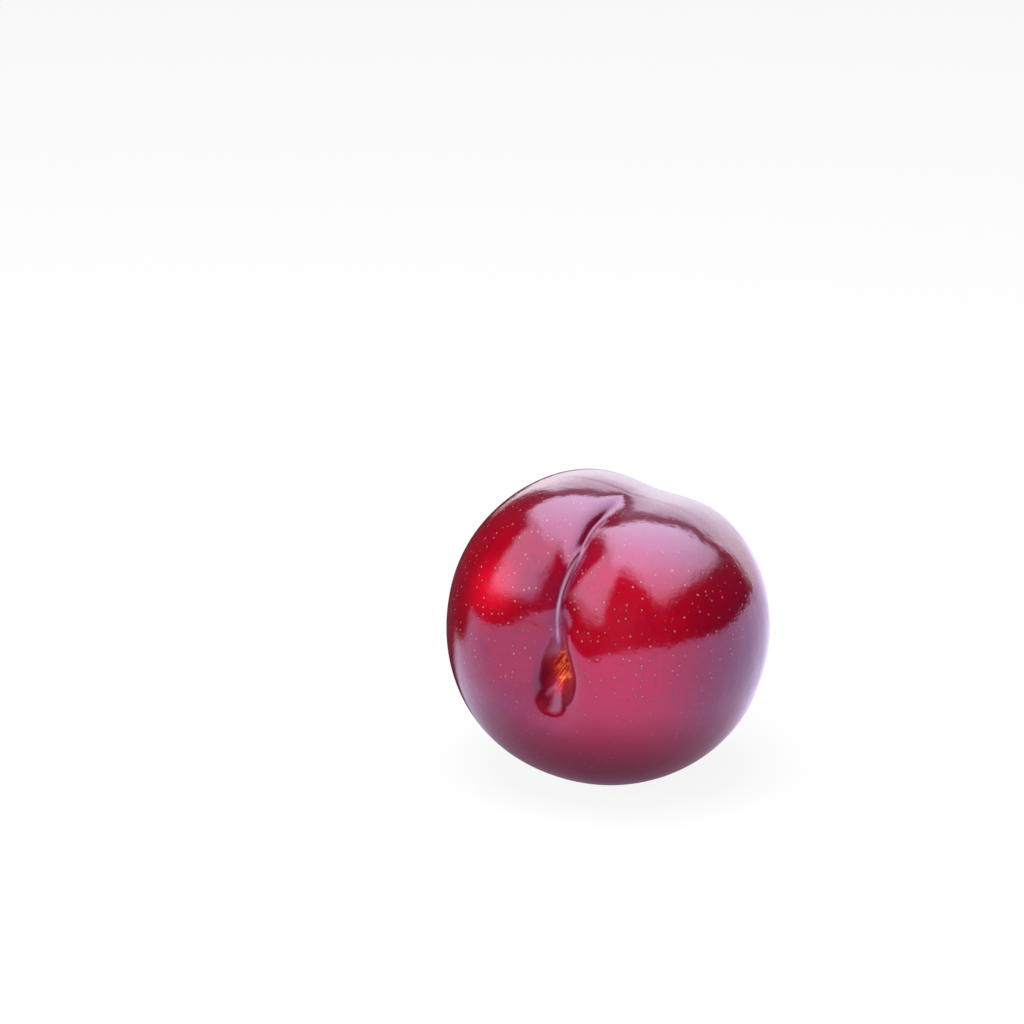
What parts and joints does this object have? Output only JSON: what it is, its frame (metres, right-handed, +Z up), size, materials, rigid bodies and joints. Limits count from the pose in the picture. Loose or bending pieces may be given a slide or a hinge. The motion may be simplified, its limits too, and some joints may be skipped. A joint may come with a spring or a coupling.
{
  "type": "plum",
  "caption": "Whole ripe round dark red plum with no stem, lying on its side on a small flat spot, with a deep stem hollow and a suture over the top.",
  "frame": {"origin": "centre of the flat spot that the fruit rests on, straight below its heart", "axes": "+Z up from the surface; the stem end faces -Y; the suture runs over the top; X runs from cheek to cheek"},
  "size_m": [0.062, 0.0583, 0.0589],
  "materials": {
    "plum_skin": "glossy waxy fruit skin, crimson to maroon, with pale pores and a thin lilac bloom"
  },
  "bodies": {
    "root": {"plum": "plum_skin"}
  },
  "joints": []
}
